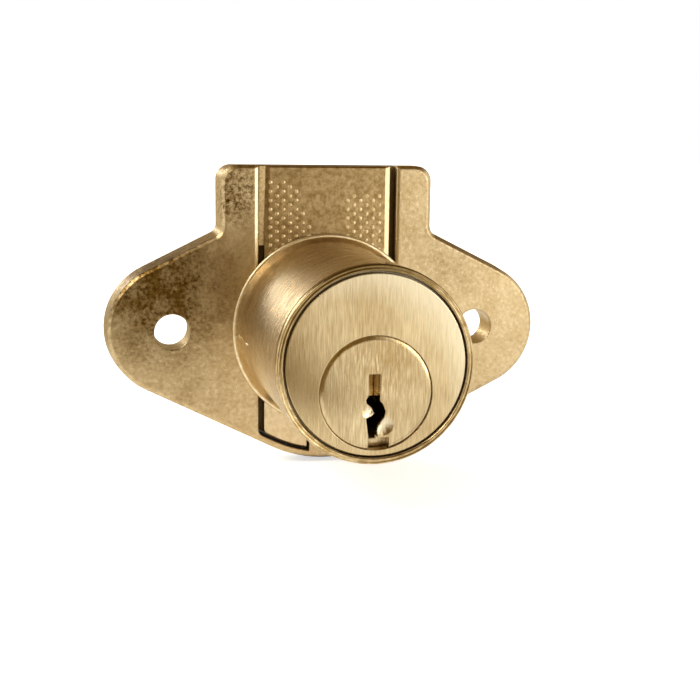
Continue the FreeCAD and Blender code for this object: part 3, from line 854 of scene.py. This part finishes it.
def white_floor_paint():
    """White paint that glows a little where the camera or a mirror sees it, clear from below."""
    material, tree, place = start("white_floor_paint")
    paths = add(tree, "LightPath").outputs
    mirrored = add(tree, "Math", {
        0: paths["Is Glossy Ray"], 1: paths["Is Transmission Ray"]
    }, operation="MAXIMUM")
    matt = add(tree, "BsdfDiffuse", {"Color": linear("F4F2EE")})
    away = add(tree, "VectorMath", {0: place}, operation="LENGTH").outputs["Value"]
    lift = add(tree, "MapRange", {
        "Value": away, "From Min": 0.05, "From Max": 0.18, "To Min": 0.6, "To Max": 1.0
    })
    lift = add(tree, "Math", {0: lift, 1: paths["Is Camera Ray"]}, operation="MULTIPLY")
    lift = add(tree, "Math", {0: mirrored, 1: mirrored_lift, 2: lift}, operation="MULTIPLY_ADD")
    glow = add(tree, "Emission", {"Color": linear("FFFFFF"), "Strength": lift})
    seen = add(tree, "AddShader", {0: matt, 1: glow})
    clear = add(tree, "BsdfTransparent")
    below = add(tree, "NewGeometry").outputs["Backfacing"]
    surface = add(tree, "MixShader", {"Fac": below, 1: seen, 2: clear})
    add(tree, "OutputMaterial", {"Surface": surface})
    return material


floor_mesh = bpy.data.meshes.new("floor")
bm = bmesh.new()
under_lock = Matrix.Translation((0, 0, cad_box[0].z - floor_gap))
bmesh.ops.create_circle(bm, cap_ends=True, segments=64, radius=floor_radius, matrix=under_lock)
bm.to_mesh(floor_mesh)
bm.free()
floor_mesh.materials.append(white_floor_paint())
floor = bpy.data.objects.new("floor", floor_mesh)
bpy.context.scene.collection.objects.link(floor)

world = bpy.data.worlds.new("world")
bpy.context.scene.world = world
world.use_nodes = True
world.node_tree.nodes.clear()
paths = add(world.node_tree, "LightPath").outputs
shown = add(world.node_tree, "Math", {
    0: paths["Is Camera Ray"], 1: paths["Is Glossy Ray"]
}, operation="MAXIMUM")
shown = add(world.node_tree, "Math", {
    0: shown, 1: paths["Is Transmission Ray"]
}, operation="MAXIMUM")
strength = add(world.node_tree, "MapRange", {"Value": shown, "To Min": world_light, "To Max": 1.0})
background = add(world.node_tree, "Background", {"Color": linear("FFFFFF"), "Strength": strength})
add(world.node_tree, "OutputWorld", {"Surface": background})
print("floor", 2 * floor_radius, "m across")

# %% [markdown]
# ## Light
#
# Polished metal has hardly any tone of its own: the eye reads its form from what it mirrors. A
# product photographer therefore sets up lamps, dark cloths and white cards round a piece, and so
# does this stage. For each surface, the direction that it mirrors to the camera says where the
# cloth or card has to be. The flat faces mirror the table in front of the lock, so a brown cloth
# on the table darkens their left, and the key lamp on the right makes their right the brightest.
# The side walls mirror the table and the room behind, so tan cloths stand there. White cards on
# the table give the bright lines on the bevels. The camera doesn't see the cloths and cards, and
# they give the lock no light but what its metal mirrors.

# %% Lamps, cloths and cards
def soft_lamp(name, place, size, power):
    """A rectangular lamp, aimed at the lock."""
    data = bpy.data.lights.new(name, "AREA")
    data.shape = "RECTANGLE"
    data.size, data.size_y = size
    data.energy = power
    lamp = bpy.data.objects.new(name, data)
    bpy.context.scene.collection.objects.link(lamp)
    turn = (-Vector(place)).to_track_quat("-Z", "Y").to_matrix().to_4x4()
    lamp.matrix_world = Matrix.Translation(place) @ turn


def flag(name, place, facing, width, height, hex_code, strength=1.0):
    """A sheet of cloth or card that only the metal's reflections see."""
    material, tree, _ = start(name + "_cloth")
    cloth = add(tree, "Emission", {"Color": linear(hex_code), "Strength": strength})
    add(tree, "OutputMaterial", {"Surface": cloth})
    turn = (Vector(facing) - Vector(place)).to_track_quat("Z", "Y").to_matrix().to_4x4()
    half = Matrix.Diagonal((width / 2, height / 2, 1.0, 1.0))
    spread = Matrix.Translation(place) @ turn @ half
    bm = bmesh.new()
    bmesh.ops.create_grid(bm, x_segments=1, y_segments=1, size=1.0, matrix=spread)
    mesh = bpy.data.meshes.new(name)
    bm.to_mesh(mesh)
    bm.free()
    mesh.materials.append(material)
    cloth_sheet = bpy.data.objects.new(name, mesh)
    bpy.context.scene.collection.objects.link(cloth_sheet)
    cloth_sheet.visible_camera = False
    cloth_sheet.visible_diffuse = False
    cloth_sheet.visible_shadow = False


def towards(azimuth, elevation, distance):
    """A place at this distance, by degrees right of straight ahead of the lock and above it."""
    a, e = math.radians(azimuth), math.radians(elevation)
    return Vector((math.sin(a) * math.cos(e), -math.cos(a) * math.cos(e), math.sin(e))) * distance


def on_table(x, y):
    """A place just above the table and one far over it, so that a sheet lies face up."""
    return (x, y, table_height), (x, y, 1.0)


table_height = cad_box[0].z + 1.0 * mm
# name, place, width and height in metres, power in watts
lamps = (
    ("key_lamp", towards(38, 2, 0.8), (0.4, 0.5), 1.9),
    ("top_left_lamp", towards(-72, 45, 0.7), (0.3, 0.3), 1.8),
    ("rear_left_lamp", (-0.38, 0.64, 0.27), (0.42, 0.36), 2.5),
    ("near_lamp", towards(-9, 14, 0.6), (0.12, 0.12), 0.15),
)
# name, place, the point that it faces, width and height in metres, colour, strength
sheets = (
    ("front_flag", towards(-20, 16, 0.5), (0, 0, 0), 0.70, 0.68, "7E6420"),
    ("table_flag", *on_table(-0.239, -0.335), 0.50, 0.51, "7E6420"),
    ("ceiling_flag", (0.0, 0.05, 0.6), (0, 0, 0), 1.6, 1.2, "6E5420"),
    ("back_flag", (0.15, 0.41, 0.17), (0, 0, 0), 0.78, 0.5, "957A48"),
    ("wall_flag", (-0.12, 0.42, 0.045), (-0.04, 0.0, 0.045), 0.6, 0.12, "D0BC90"),
    ("rear_table_flag", *on_table(-0.06, 0.23), 0.36, 0.36, "D0BC90"),
    ("table_card", *on_table(0.165, -0.125), 0.10, 0.11, "FFFFFF", 2.2),
    ("face_card", *on_table(0.040, -0.150), 0.022, 0.12, "FFFFFF", 1.3),
)
for lamp in lamps:
    soft_lamp(*lamp)
for sheet in sheets:
    flag(*sheet)
print(len(lamps), "lamps,", len(sheets), "cloths and cards")
